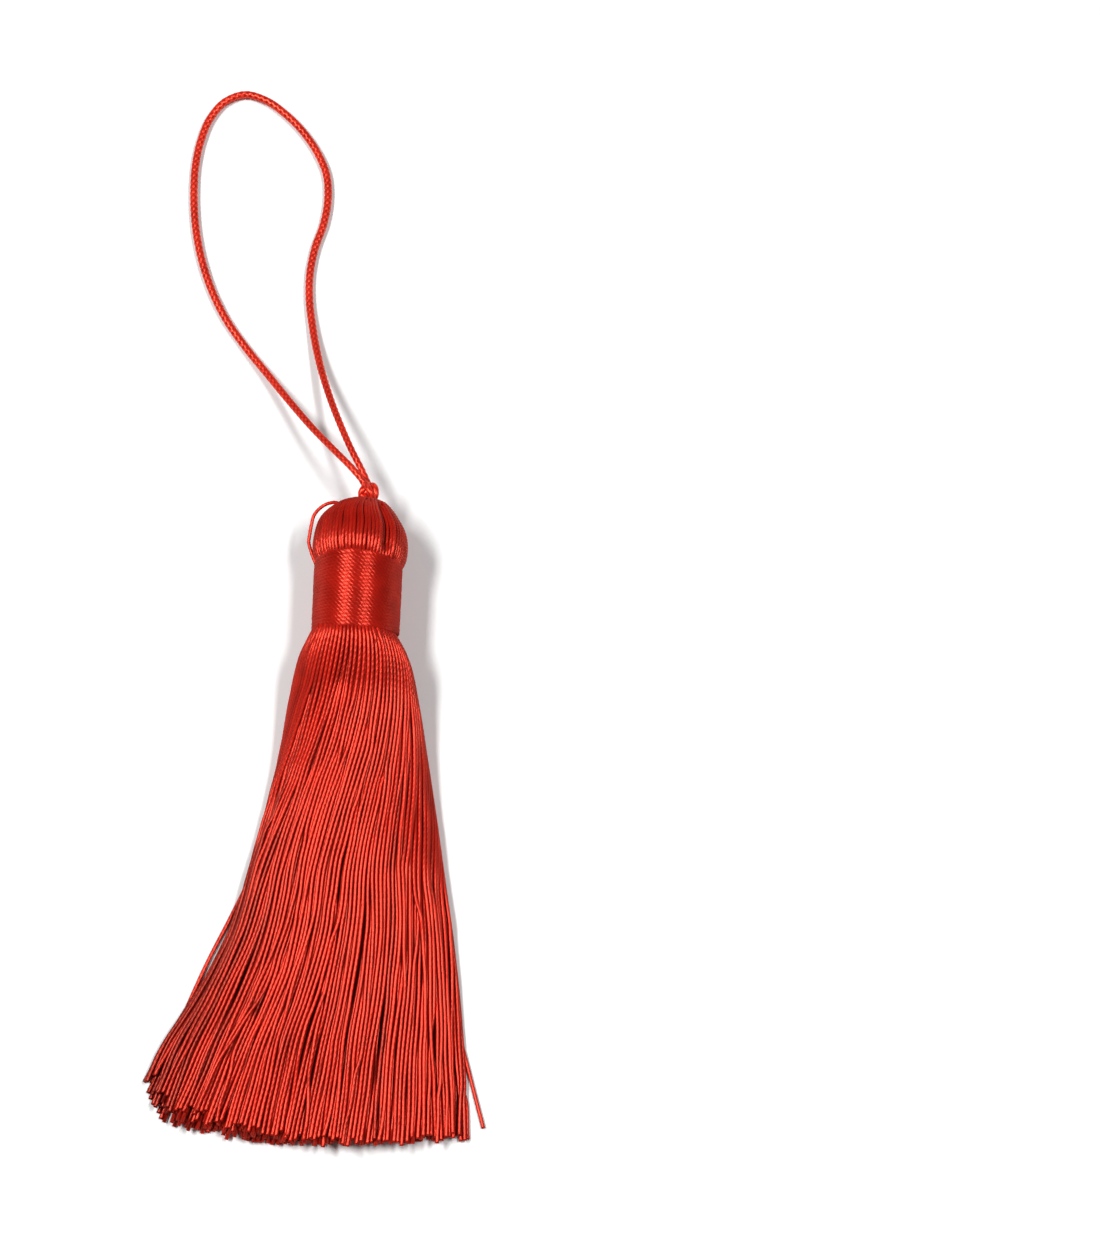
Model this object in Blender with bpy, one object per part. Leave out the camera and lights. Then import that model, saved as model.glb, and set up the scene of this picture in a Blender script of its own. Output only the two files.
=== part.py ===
"""A silk tassel lying on its side, with its hanging loop laid out on the same surface.

Four pieces, as a maker would fit them: the bundle of yarn with its head, neck and skirt, the binding wound round the
neck, the hanging loop, and the knot that ties the loop on top of the head.

Metres, +Z up. The tassel's axis runs along Y, the head towards +Y and the skirt towards -Y. The origin is the middle of
the small flat spot on which the head rests. The tables are in millimetres, and "down" is a distance from the head's
widest ring towards the skirt's cut end, so it is -Y.
"""

import math

import bpy
import numpy as np

MM = 0.001

# The head rests on a flat spot, so the axis lies a little lower than the head's radius.
HEAD_RADIUS = 6.2
FLAT_SPOT_DEPTH = 0.12
AXIS_HEIGHT = HEAD_RADIUS - FLAT_SPOT_DEPTH

# Head and neck, turned about the axis. The last column says how much of the rib's depth shows at that ring.
#   down, radius, ribbed
HEAD_RINGS = (
    (-4.72, 1.1, 0.0),
    (-5.0, 2.0, 0.3),
    (-4.75, 3.1, 0.7),
    (-4.0, 4.3, 1.0),
    (-2.9, 5.25, 1.0),
    (-1.5, 5.92, 1.0),
    (0.0, 6.2, 1.0),
    (1.5, 6.12, 1.0),
    (2.8, 5.85, 1.0),
    (3.75, 5.5, 0.6),
    (3.8, 4.3, 0.0),
    (13.0, 4.3, 0.0),
    (13.05, 5.1, 0.0),
    (14.2, 5.45, 0.0),
)
HEAD_DIMPLE = -4.6
ROOT_END = 14.2
HEAD_RIBS = 36
RIB_DEPTH = 0.24
RIB_UNEVENNESS = 0.45
# Threads pressed flat against the surface have no ribs: within this angle of straight down.
FLAT_HALF_ANGLE = math.radians(24)

# One deeper furrow where the threads part, on the upper right of the head.
FURROW_ANGLE = math.radians(50)
FURROW_WIDTH = math.radians(7)
FURROW_DEPTH = 0.9
FURROW_DOWN = (-3.6, 1.6)

# The skirt's cross-section: a disc under the binding, a low mound lying on the surface further down.
#   down, left, right, base, height, laid (0 a round bundle, 1 flat underneath)
SKIRT_SECTIONS = (
    (13.4, -4.9, 5.1, 1.2, 9.8, 0.0),
    (16.0, -6.0, 6.9, 0.9, 9.5, 0.12),
    (20.0, -6.9, 8.1, 0.45, 8.8, 0.4),
    (26.5, -7.8, 9.5, 0.1, 7.7, 0.8),
    (33.0, -8.8, 10.6, 0.0, 6.9, 1.0),
    (42.0, -10.7, 12.1, 0.0, 6.2, 1.0),
    (50.0, -13.1, 13.5, 0.0, 5.7, 1.0),
    (59.0, -17.0, 15.0, 0.0, 5.2, 1.0),
    (68.0, -20.8, 16.3, 0.0, 4.9, 1.0),
    (76.0, -23.8, 17.5, 0.0, 4.7, 1.0),
)

# Where the strands are cut, from the left edge of the skirt (-1) to its right edge (1).
#   across, down
SKIRT_ENDS = (
    (-1.0, 68.3),
    (-0.89, 70.5),
    (-0.76, 72.6),
    (-0.58, 73.8),
    (-0.3, 74.8),
    (-0.1, 74.9),
    (0.11, 74.5),
    (0.48, 74.0),
    (1.0, 73.2),
)
END_UNEVENNESS = 0.7
TOP_STRANDS_SHORTER = 1.5
LOW_STRANDS_SHORTER = 0.7

# The strands fill a unit disc out to this edge, which leaves room for their own thickness.
STRANDS = 204
DISC_EDGE = 0.985
STRAND_SIDES = 3
# Every strand has a corner ring at each of these distances down, and one at its own cut end.
STRAND_STATIONS = (13.4, 17.5, 24.0, 33.0, 44.0, 57.0)
# A strand's corners reach this share of the way to its nearest neighbour, and never further than a lock's do, at the
# root and at the end. Three-sided strands that all stand the same way up clear each other below a share of 0.577.
STRAND_SHARE = 0.54
LOCK_RADII = (0.36, 0.52)

# Locks: the strands drift sideways together, which crowds some and parts others.
LOCK_DRIFT = 0.45
LOCK_WAVES = 3.0
# The top of the mound rises and falls a little from side to side.
MOUND_RIPPLE = 0.07
MOUND_WAVES = 2.2
# The skirt fans out into locks between these distances down.
FAN_DOWN = (16, 50)
# Strands lower than this sink to the surface and lie level, a hair above it. Two of them, the lowest beyond this
# share of the half-width on either side, touch it with their cut ends, so that the tassel rests on them and its head.
SETTLE_HEIGHT = 0.9
HAIR = 0.12
FEET_BEYOND = 0.6

# The bundle rolls over to the left as it goes down, so that the strands on top sweep across it.
ROLL = math.radians(38)
ROLL_DOWN = (12.0, 42.0)

# A single strand that strays from the right edge, by this far at its end.
STRAY_DRIFT = 2.6
STRAY_START = 44.0

# The thread that stands out from the head in a small loop on its left.
#   down, out from the axis, angle from +X in degrees, round the axis
STANDING_THREAD = (
    (-4.0, 3.4, 176),
    (-4.9, 4.3, 176),
    (-3.8, 5.45, 176),
    (-2.1, 6.25, 176),
    (-0.4, 6.65, 177),
    (1.2, 6.62, 177),
    (2.6, 6.3, 178),
    (3.2, 5.3, 178),
)
THREAD_RADIUS = 0.25
THREAD_SIDES = 5

BINDING_TOP = 4.1
BINDING_LENGTH = 8.6
BINDING_INNER_RADIUS = 4.62
BINDING_RADII = (5.42, 5.3)
BINDING_TURNS = 17
BINDING_FACETS = 24
TURN_DEPTH = 0.13

KNOT_MIDDLE = (0.9, 6.26, 6.55)
KNOT_RADII = (1.35, 1.2, 1.25)
KNOT_TURN = (0.3, 0.2, 0.6)
KNOT_ROWS = 11
KNOT_COLUMNS = 20
KNOT_WRAPS = 3
KNOT_WRAP_DEPTH = 0.16
KNOT_WRAP_SLANT = 0.35

# The cord's route from the knot, round the loop and back: x, y, z of its middle line.
CORD_RADIUS = 0.5
LOOP_ROUTE = (
    (-0.05, 7.84, 6.9),
    (-1.2, 9.2, 6.8),
    (-3.8, 12.0, 6.0),
    (-7.0, 15.6, 4.5),
    (-10.5, 20.0, 2.7),
    (-14.0, 24.5, 1.3),
    (-17.4, 28.7, 0.65),
    (-20.2, 32.5, 0.6),
    (-22.3, 36.3, 0.6),
    (-24.0, 40.5, 0.6),
    (-25.1, 44.3, 0.6),
    (-25.8, 48.0, 0.6),
    (-26.2, 51.7, 0.6),
    (-26.3, 55.4, 0.6),
    (-25.9, 59.2, 0.6),
    (-24.9, 62.7, 0.6),
    (-23.1, 65.3, 0.6),
    (-20.5, 66.5, 0.6),
    (-17.5, 65.7, 0.6),
    (-14.8, 63.8, 0.6),
    (-12.2, 61.2, 0.6),
    (-10.0, 58.1, 0.6),
    (-8.5, 54.8, 0.6),
    (-8.0, 51.1, 0.6),
    (-8.3, 47.3, 0.6),
    (-9.2, 43.6, 0.6),
    (-9.6, 40.0, 0.6),
    (-9.4, 36.0, 0.65),
    (-8.6, 31.6, 0.9),
    (-7.1, 26.6, 1.8),
    (-5.2, 21.3, 3.4),
    (-3.2, 16.3, 5.0),
    (-1.2, 11.8, 6.0),
    (0.2, 9.4, 6.2),
    (0.95, 7.88, 6.2),
)
LOOP_STEP = 2.4

YARN_RED = (0.60, 0.035, 0.02, 1.0)
BINDING_RED = (0.56, 0.03, 0.018, 1.0)
CORD_RED = (0.62, 0.045, 0.02, 1.0)
YARN_ROUGHNESS = 0.42


def clear_scene():
    for thing in list(bpy.data.objects):
        bpy.data.objects.remove(thing)


def silk(name, colour):
    """A plain silky yarn finish."""
    material = bpy.data.materials.new(name)
    material.use_nodes = True
    shader = material.node_tree.nodes["Principled BSDF"]
    shader.inputs["Base Color"].default_value = colour
    shader.inputs["Roughness"].default_value = YARN_ROUGHNESS
    shader.inputs["Metallic"].default_value = 0.0
    return material


def smooth_rows(rows, at):
    """A table's other columns at these values of its first column, on smooth curves through the rows."""
    table = np.array(rows, float)
    key, values = table[:, 0], table[:, 1:]
    slope = np.gradient(values, key, axis=0)
    at = np.clip(np.asarray(at, float), key[0], key[-1])
    row = np.clip(np.searchsorted(key, at, side="right") - 1, 0, len(key) - 2)
    width = (key[row + 1] - key[row])[:, None]
    t = ((at - key[row]) / (key[row + 1] - key[row]))[:, None]
    start = (2 * t**3 - 3 * t**2 + 1) * values[row] + (t**3 - 2 * t**2 + t) * width * slope[row]
    end = (3 * t**2 - 2 * t**3) * values[row + 1] + (t**3 - t**2) * width * slope[row + 1]
    return (start + end).T


def ease(value, start, end):
    """0 before start, 1 after end, and a smooth step between."""
    t = np.clip((value - start) / (end - start), 0, 1)
    return t * t * (3 - 2 * t)


def ring_faces(rings, sides, first, around=False):
    """Quads between each ring of corners and the next, and between the last and the first if it goes around."""
    faces = []
    for ring in range(rings if around else rings - 1):
        here = first + ring * sides
        there = first + (ring + 1) % rings * sides
        for side in range(sides):
            after = (side + 1) % sides
            faces.append((here + side, here + after, there + after, there + side))
    return faces


def tube_faces(rings, sides, first=0):
    """A closed tube: the quads along it and a flat face at each end."""
    last = first + (rings - 1) * sides
    start = tuple(reversed(range(first, first + sides)))
    end = tuple(range(last, last + sides))
    return ring_faces(rings, sides, first) + [start, end]


def make_object(name, points, faces, material):
    """One object whose mesh has these corners, in millimetres."""
    mesh = bpy.data.meshes.new(name)
    mesh.from_pydata([tuple(point) for point in np.asarray(points) * MM], [], faces)
    mesh.materials.append(material)
    mesh.update()
    thing = bpy.data.objects.new(name, mesh)
    bpy.context.scene.collection.objects.link(thing)
    return thing


def hide_helper(thing):
    thing.hide_render = True
    thing.display_type = "WIRE"


def rib_relief(angles, rng):
    """How far each column of the head lies under its ridges: every second column is a furrow, none like the next."""
    furrows = np.arange(len(angles)) % 2
    depth = RIB_DEPTH * (1 + RIB_UNEVENNESS * rng.uniform(-1, 1, len(angles)))
    pressed = np.abs(np.mod(angles + math.pi / 2 + math.pi, 2 * math.pi) - math.pi)
    return furrows * depth * ease(pressed, FLAT_HALF_ANGLE, 2 * FLAT_HALF_ANGLE)


def make_core(material):
    """Head, neck and root as one turned solid, ribbed lengthways, with its flat spot level on the surface."""
    rng = np.random.default_rng(7)
    columns = 2 * HEAD_RIBS
    angles = 2 * math.pi * np.arange(columns) / columns
    relief = rib_relief(angles, rng)
    furrow = np.exp(-(((angles - FURROW_ANGLE) / FURROW_WIDTH) ** 2)) * FURROW_DEPTH
    points = []
    for down, radius, ribbed in HEAD_RINGS:
        along = ease(down, FURROW_DOWN[0] - 1, FURROW_DOWN[0]) * (1 - ease(down, FURROW_DOWN[1], FURROW_DOWN[1] + 2))
        out = radius - relief * ribbed - furrow * along
        z = np.maximum(AXIS_HEIGHT + out * np.sin(angles), 0)
        points += zip(out * np.cos(angles), np.full(columns, -down), z)
    rings = len(HEAD_RINGS)
    faces = ring_faces(rings, columns, 0)
    top, bottom = len(points), len(points) + 1
    points += [(0, -HEAD_DIMPLE, AXIS_HEIGHT), (0, -ROOT_END, AXIS_HEIGHT)]
    last = (rings - 1) * columns
    for column in range(columns):
        after = (column + 1) % columns
        faces.append((top, after, column))
        faces.append((bottom, last + column, last + after))
    return make_object("bundle", points, faces, material)


def strand_places():
    """Where the strands stand in a unit disc, as (across, up) pairs.

    They are points of the golden-ratio lattice, (a + b*phi, a - b/phi) for whole a and b. It keeps its points well
    apart however far it is stretched one way and pressed the other, as the bundle is where it fans out and lies flat.
    """
    golden = (1 + math.sqrt(5)) / 2
    pitch = math.sqrt(math.pi / (STRANDS * math.sqrt(5)))
    whole = np.arange(-STRANDS // 4, STRANDS // 4)
    a, b = np.meshgrid(whole, whole)
    across = (a + b * golden).ravel() * pitch
    up = (a - b / golden).ravel() * pitch
    inside = np.hypot(across, up) < DISC_EDGE
    return across[inside], up[inside]


def laid_strands(across, up, down):
    """x and z of the strands at these distances down: the disc turned smoothly into a mound that lies on the surface.

    The chord of the disc at `across` becomes the height of the mound there: both keep the strands' order. The places
    are those of the laid skirt, and higher up the disc is still to be rolled over.
    """
    roll = ROLL * (1 - ease(down, *ROLL_DOWN))
    across, up = across * np.cos(roll) + up * np.sin(roll), up * np.cos(roll) - across * np.sin(roll)
    left, right, base, height, laid = smooth_rows(SKIRT_SECTIONS, down)
    chord = np.sqrt(1 - across**2)
    z = base + height / 2 * (1 + laid * (chord - 1) + up)
    x = left + (right - left) * (across + 1) / 2
    fanned = ease(down, *FAN_DOWN)
    x = x + LOCK_DRIFT * fanned * np.sin(LOCK_WAVES * math.pi * across + 2 * up + 0.02 * down)
    z = z * (1 + MOUND_RIPPLE * fanned * np.sin(MOUND_WAVES * math.pi * across + 0.9))
    return x, z


def cut_lengths(across, up, rng):
    """How far down each strand is cut: the skirt's end line, ragged, with the top and the lowest strands shorter."""
    (down,) = smooth_rows(SKIRT_ENDS, across)
    ragged = rng.uniform(-END_UNEVENNESS, END_UNEVENNESS, len(across))
    return down + ragged - TOP_STRANDS_SHORTER * ease(up, 0, 1) - LOW_STRANDS_SHORTER * ease(-up, 0.2, 1)


def nearest_distances(x, z):
    """How far each strand is from its nearest neighbour."""
    apart = np.hypot(x[:, None] - x, z[:, None] - z)
    np.fill_diagonal(apart, np.inf)
    return apart.min(axis=1)


def make_strands(material):
    """The skirt's strands: three-sided, flat side down, a little thicker towards their ends."""
    rng = np.random.default_rng(11)
    across, up = strand_places()
    cuts = cut_lengths(across, up, rng)
    stray = np.argmax(across - 0.15 * up)
    feet = [np.argmin(np.where(side * across > FEET_BEYOND, up, 1)) for side in (-1, 1)]
    stations = [np.full(len(across), station) for station in STRAND_STATIONS] + [cuts]
    thickest = np.linspace(*LOCK_RADII, len(stations))
    corner_angles = math.pi / 2 + 2 * math.pi * np.arange(STRAND_SIDES) / STRAND_SIDES
    rings = []
    for down, most in zip(stations, thickest):
        x, z = laid_strands(across, up, down)
        radius = np.minimum(STRAND_SHARE * nearest_distances(x, z), most)
        x[stray] += STRAY_DRIFT * ease(down[stray], STRAY_START, cuts[stray])
        z = radius / 2 + HAIR + z * ease(z, -SETTLE_HEIGHT / 2, SETTLE_HEIGHT)
        if down is cuts:
            z[feet] = radius[feet] / 2
        corner_x = x[:, None] + radius[:, None] * np.cos(corner_angles)
        corner_z = z[:, None] + radius[:, None] * np.sin(corner_angles)
        corner_y = np.broadcast_to(-down[:, None], corner_x.shape)
        rings.append(np.stack([corner_x, corner_y, corner_z], axis=2))
    points = np.stack(rings, axis=1).reshape(-1, 3)
    each = len(stations) * STRAND_SIDES
    faces = []
    for strand in range(len(across)):
        faces += tube_faces(len(stations), STRAND_SIDES, strand * each)
    strands = make_object("skirt_strands", points, faces, material)
    hide_helper(strands)
    return strands


def make_standing_thread(material):
    """The thread that loops out of the head: a ring of corners across its path at each point."""
    down, out, angle = np.array(STANDING_THREAD, float).T
    angle = np.radians(angle)
    path = np.stack([out * np.cos(angle), -down, AXIS_HEIGHT + out * np.sin(angle)], axis=1)
    ahead = np.gradient(path, axis=0)
    ahead /= np.linalg.norm(ahead, axis=1)[:, None]
    side = np.cross(ahead, (0, 0, 1))
    side /= np.linalg.norm(side, axis=1)[:, None]
    above = np.cross(side, ahead)
    turn = 2 * math.pi * np.arange(THREAD_SIDES)[:, None, None] / THREAD_SIDES
    rings = path + THREAD_RADIUS * (np.cos(turn) * side - np.sin(turn) * above)
    points = rings.transpose(1, 0, 2).reshape(-1, 3)
    thread = make_object("standing_thread", points, tube_faces(len(path), THREAD_SIDES), material)
    hide_helper(thread)
    return thread


def fuse(thing, helper):
    union = thing.modifiers.new("fuse " + helper.name, "BOOLEAN")
    union.operation = "UNION"
    union.solver = "EXACT"
    union.object = helper


def make_bundle(material):
    bundle = make_core(material)
    fuse(bundle, make_strands(material))
    fuse(bundle, make_standing_thread(material))
    return bundle


def make_binding(material):
    """The winding as a band with one ridge for each turn."""
    steps = 2 * BINDING_TURNS
    share = np.arange(steps + 1) / steps
    down = BINDING_TOP + BINDING_LENGTH * share
    radius = BINDING_RADII[0] + (BINDING_RADII[1] - BINDING_RADII[0]) * share
    radius = radius - TURN_DEPTH * (np.arange(steps + 1) % 2 == 0)
    profile = [*zip(down, radius), (down[-1], BINDING_INNER_RADIUS), (down[0], BINDING_INNER_RADIUS)]
    angles = 2 * math.pi * np.arange(BINDING_FACETS) / BINDING_FACETS
    points = []
    for ring_down, ring_radius in profile:
        x = ring_radius * np.cos(angles)
        z = AXIS_HEIGHT + ring_radius * np.sin(angles)
        points += zip(x, np.full(BINDING_FACETS, -ring_down), z)
    return make_object("binding", points, ring_faces(len(profile), BINDING_FACETS, 0, around=True), material)


def make_knot(material):
    """A small tied knot: a rounded lump with its wraps raised, each running slantwise round it."""
    points = [(0, 0, KNOT_RADII[2])]
    for row in range(1, KNOT_ROWS):
        polar = math.pi * row / KNOT_ROWS
        for column in range(KNOT_COLUMNS):
            azimuth = 2 * math.pi * column / KNOT_COLUMNS
            wrap = abs(math.sin(KNOT_WRAPS * (polar + KNOT_WRAP_SLANT * math.sin(azimuth)))) - 1
            size = 1 + KNOT_WRAP_DEPTH * wrap
            points.append((
                size * KNOT_RADII[0] * math.sin(polar) * math.cos(azimuth),
                size * KNOT_RADII[1] * math.sin(polar) * math.sin(azimuth),
                size * KNOT_RADII[2] * math.cos(polar),
            ))
    points.append((0, 0, -KNOT_RADII[2]))
    faces = [tuple(reversed(face)) for face in ring_faces(KNOT_ROWS - 1, KNOT_COLUMNS, 1)]
    last, bottom = 1 + (KNOT_ROWS - 2) * KNOT_COLUMNS, len(points) - 1
    for column in range(KNOT_COLUMNS):
        after = (column + 1) % KNOT_COLUMNS
        faces.append((0, 1 + column, 1 + after))
        faces.append((bottom, last + after, last + column))
    knot = make_object("knot", points, faces, material)
    knot.location = [value * MM for value in KNOT_MIDDLE]
    knot.rotation_euler = KNOT_TURN
    return knot


def loop_points():
    """Evenly spaced points on a smooth curve through the cord's route."""
    route = np.array(LOOP_ROUTE, float)
    run = np.concatenate([[0], np.cumsum(np.linalg.norm(np.diff(route, axis=0), axis=1))])
    count = round(run[-1] / LOOP_STEP) + 1
    return smooth_rows(np.column_stack([run, route]), np.linspace(0, run[-1], count)).T


def make_loop(material):
    """The cord as one bevelled curve."""
    points = loop_points() * MM
    curve = bpy.data.curves.new("hanging_loop", "CURVE")
    curve.dimensions = "3D"
    curve.bevel_depth = CORD_RADIUS * MM
    curve.bevel_resolution = 2
    curve.use_fill_caps = True
    spline = curve.splines.new("POLY")
    spline.points.add(len(points) - 1)
    for spot, place in zip(spline.points, points):
        spot.co = (*place, 1)
    curve.materials.append(material)
    loop = bpy.data.objects.new("hanging_loop", curve)
    bpy.context.scene.collection.objects.link(loop)
    return loop


def shade_round(things):
    for thing in things:
        if thing.type == "MESH":
            thing.data.shade_smooth()
            thing.data.set_sharp_from_angle(angle=math.radians(50))


def main():
    clear_scene()
    tassel = bpy.data.objects.new("tassel", None)
    bpy.context.scene.collection.objects.link(tassel)
    pieces = [
        make_bundle(silk("silk_yarn", YARN_RED)),
        make_binding(silk("binding_thread", BINDING_RED)),
        make_knot(silk("knotted_cord", CORD_RED)),
        make_loop(silk("loop_cord", CORD_RED)),
    ]
    shade_round(pieces)
    for piece in pieces:
        piece.parent = tassel


main()
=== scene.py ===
# %% [markdown]
# # A silk tassel on a white table
#
# A tassel is a hank of silky yarn folded over a cord. A second thread is wound tightly round the neck,
# below the fold, and everything under that winding hangs loose as the skirt. This one lies on its side,
# with its hanging loop laid out behind it.
#
# Every piece here is yarn, so nearly every piece is the same thing: a twisted thread carried along a path.
# The lesson builds one function for that, and then spends its time on the paths, because they are what
# makes a tassel look real.

# %% Load the frame
import math

import bpy
import numpy as np
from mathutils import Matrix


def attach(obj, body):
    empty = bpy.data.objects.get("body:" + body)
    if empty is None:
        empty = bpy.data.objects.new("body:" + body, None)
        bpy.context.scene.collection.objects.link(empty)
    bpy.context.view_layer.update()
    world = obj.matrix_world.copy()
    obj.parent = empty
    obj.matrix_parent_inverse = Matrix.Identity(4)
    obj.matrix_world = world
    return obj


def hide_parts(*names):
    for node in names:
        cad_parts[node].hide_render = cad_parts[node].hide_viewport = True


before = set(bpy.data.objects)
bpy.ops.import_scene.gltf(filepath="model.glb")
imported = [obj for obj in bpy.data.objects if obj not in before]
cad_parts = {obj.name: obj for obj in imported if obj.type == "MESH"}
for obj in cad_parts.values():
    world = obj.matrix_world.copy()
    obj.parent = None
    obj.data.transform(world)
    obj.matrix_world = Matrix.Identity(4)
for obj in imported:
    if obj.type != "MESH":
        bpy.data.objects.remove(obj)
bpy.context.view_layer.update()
print("CAD nodes:", ", ".join(sorted(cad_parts)))

# %% [markdown]
# ## Units and tables
#
# The tables are in millimetres, because yarn is half a millimetre thick and metres would be hard to read.
# `down` is the distance from the head's widest ring towards the cut ends, so it is -Y. A table becomes
# smooth curves with cubic Hermite steps, whose slopes are taken from the neighbouring rows.

# %% Millimetres, smooth tables and smooth steps
MM = 0.001
AXIS_HEIGHT = 6.08
BUNDLE_BODY = "root"


def smooth_rows(rows, at):
    """A table's other columns at these values of its first column.

    Between two rows t runs from 0 to 1, and the curve is the sum of the two rows weighted by 2t^3 - 3t^2 + 1 and
    3t^2 - 2t^3, and of their slopes weighted by t^3 - 2t^2 + t and t^3 - t^2.
    """
    table = np.asarray(rows, float)
    key, values = table[:, 0], table[:, 1:]
    slope = np.gradient(values, key, axis=0)
    at = np.clip(np.asarray(at, float), key[0], key[-1])
    row = np.clip(np.searchsorted(key, at, side="right") - 1, 0, len(key) - 2)
    width = (key[row + 1] - key[row])[..., None]
    t = (at - key[row])[..., None] / width
    start = (2 * t**3 - 3 * t**2 + 1) * values[row] + (t**3 - 2 * t**2 + t) * width * slope[row]
    end = (3 * t**2 - 2 * t**3) * values[row + 1] + (t**3 - t**2) * width * slope[row + 1]
    return np.moveaxis(start + end, -1, 0)


def ease(value, start, end):
    """0 before start, 1 after end, and 3t^2 - 2t^3 between."""
    t = np.clip((value - start) / (end - start), 0, 1)
    return t * t * (3 - 2 * t)


def lengths_along(path):
    """The distance run along each path up to each of its points."""
    steps = np.linalg.norm(np.diff(path, axis=-2), axis=-1)
    return np.concatenate([np.zeros_like(steps[..., :1]), np.cumsum(steps, axis=-1)], axis=-1)


def evenly_along(route, spacing):
    """Points at this spacing on the smooth curve through one route."""
    run = lengths_along(np.asarray(route, float))
    count = round(run[-1] / spacing) + 1
    return smooth_rows(np.column_stack([run, route]), np.linspace(0, run[-1], count)).T


# %% [markdown]
# ## The camera
#
# The photograph looks down on the table, 19 degrees off the vertical and turned a little to the right. The
# lens is given as a number of pixels, and the sensor's long side stands for the photograph's 1250 rows.

# %% Place the camera
PHOTO_ROWS = 1250
FOCAL_PIXELS = 2600
SENSOR = 36.0
TILT = math.radians(19)
TURN = math.radians(2.5)
CAMERA_PLACE = (29.29, -116.12, 313.67)

lens = bpy.data.cameras.new("camera")
lens.sensor_width = SENSOR
lens.lens = SENSOR * FOCAL_PIXELS / PHOTO_ROWS
lens.clip_start = 0.01
lens.clip_end = 10
camera = bpy.data.objects.new("camera", lens)
camera.location = [value * MM for value in CAMERA_PLACE]
camera.rotation_euler = (TILT, 0, TURN)
bpy.context.scene.collection.objects.link(camera)
bpy.context.scene.camera = camera
print(f"lens {lens.lens:.1f} mm")

# %% [markdown]
# ## From numbers to a mesh
#
# Blender takes a whole mesh at once as flat arrays: the corners' places, the corners of every face in a
# row, and where each face starts in that row. That is far quicker than adding faces one by one, and a
# tassel has hundreds of thousands of them.

# %% Make a mesh from arrays


def mesh_object(name, points, face_arrays, material, uv=None, tone=None):
    """An object with these corners in millimetres. Each array in face_arrays holds faces of one size, one per row."""
    mesh = bpy.data.meshes.new(name)
    corners = np.concatenate([faces.ravel() for faces in face_arrays]).astype(np.int32)
    sizes = np.concatenate([np.full(len(faces), faces.shape[1]) for faces in face_arrays])
    mesh.vertices.add(len(points))
    mesh.vertices.foreach_set("co", (np.asarray(points) * MM).astype(np.float32).ravel())
    mesh.loops.add(len(corners))
    mesh.loops.foreach_set("vertex_index", corners)
    mesh.polygons.add(len(sizes))
    mesh.polygons.foreach_set("loop_start", (np.cumsum(sizes) - sizes).astype(np.int32))
    mesh.update(calc_edges=True)
    if uv is not None:
        layer = mesh.uv_layers.new(name="along")
        layer.uv.foreach_set("vector", uv.astype(np.float32).ravel())
    if tone is not None:
        shade = mesh.attributes.new("tone", "FLOAT", "POINT")
        shade.data.foreach_set("value", tone.astype(np.float32))
    mesh.shade_smooth()
    mesh.materials.append(material)
    thing = bpy.data.objects.new(name, mesh)
    bpy.context.scene.collection.objects.link(thing)
    return thing


# %% [markdown]
# ## One thread, or a thousand
#
# Three plies twisted together have a cross-section with three rounded crests and three grooves. Six corners
# are enough for it: every second corner is a crest. The section turns as it is carried along the path, so a
# crest becomes a helix and catches the light once for every third of a turn, which is the row of small
# glints that silk yarn shows.
#
# A curve with a bevel would give only a round tube, and an Array modifier would make every thread the same.
# A sweep in numpy takes all threads of a piece at once, each on its own path.

# %% Sweep threads along their paths
PLIES = 3
PLY_CORNERS = 6
TWIST_LENGTH = 2.2
GROOVE = 0.97


def swept_corners(paths, toward, radius, sides, turn):
    """The rings of corners round each path, as (path, ring, corner, xyz).

    The tangent t is the path's slope. s = t x toward, and n = s x t, both made one long. A corner at angle a is
    path + radius * (cos(a) * n + sin(a) * s), with a = 2*pi*corner/sides + turn.
    """
    tangent = np.gradient(paths, axis=-2)
    tangent /= np.linalg.norm(tangent, axis=-1, keepdims=True)
    side = np.cross(tangent, np.broadcast_to(toward, paths.shape))
    side /= np.linalg.norm(side, axis=-1, keepdims=True)
    out = np.cross(side, tangent)
    angle = 2 * math.pi * np.arange(sides) / sides + turn[..., None]
    ring = np.cos(angle)[..., None] * out[..., None, :] + np.sin(angle)[..., None] * side[..., None, :]
    return paths[..., None, :] + radius[..., None] * ring


def tube_faces(tubes, rings, sides):
    """The faces of closed tubes whose corners are numbered tube by tube, ring by ring: sides, then end caps."""
    tube, ring, side = np.meshgrid(np.arange(tubes), np.arange(rings - 1), np.arange(sides), indexing="ij")
    first = (tube * rings + ring) * sides
    after = (side + 1) % sides
    quads = np.stack([first + side, first + after, first + sides + after, first + sides + side], axis=-1)
    starts = np.arange(tubes)[:, None] * rings * sides + np.arange(sides)[::-1]
    ends = (np.arange(tubes)[:, None] * rings + rings - 1) * sides + np.arange(sides)
    return quads.reshape(-1, 4), np.concatenate([starts, ends])


def tube_uv(along, sides):
    """A UV map in which u goes once round the thread and v is the distance along it, in twist lengths."""
    tubes, rings = along.shape
    v = np.broadcast_to((along / TWIST_LENGTH)[..., None], (tubes, rings, sides))
    u = np.broadcast_to(np.arange(sides) / sides, (tubes, rings, sides))
    here = np.stack([u, v], axis=-1)
    after = np.stack([u + 1 / sides, v], axis=-1)
    quads = np.stack([here[:, :-1], after[:, :-1], after[:, 1:], here[:, 1:]], axis=-2)
    caps = np.concatenate([here[:, 0, ::-1], here[:, -1]])
    return np.concatenate([quads.reshape(-1, 2), caps.reshape(-1, 2)])


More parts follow.
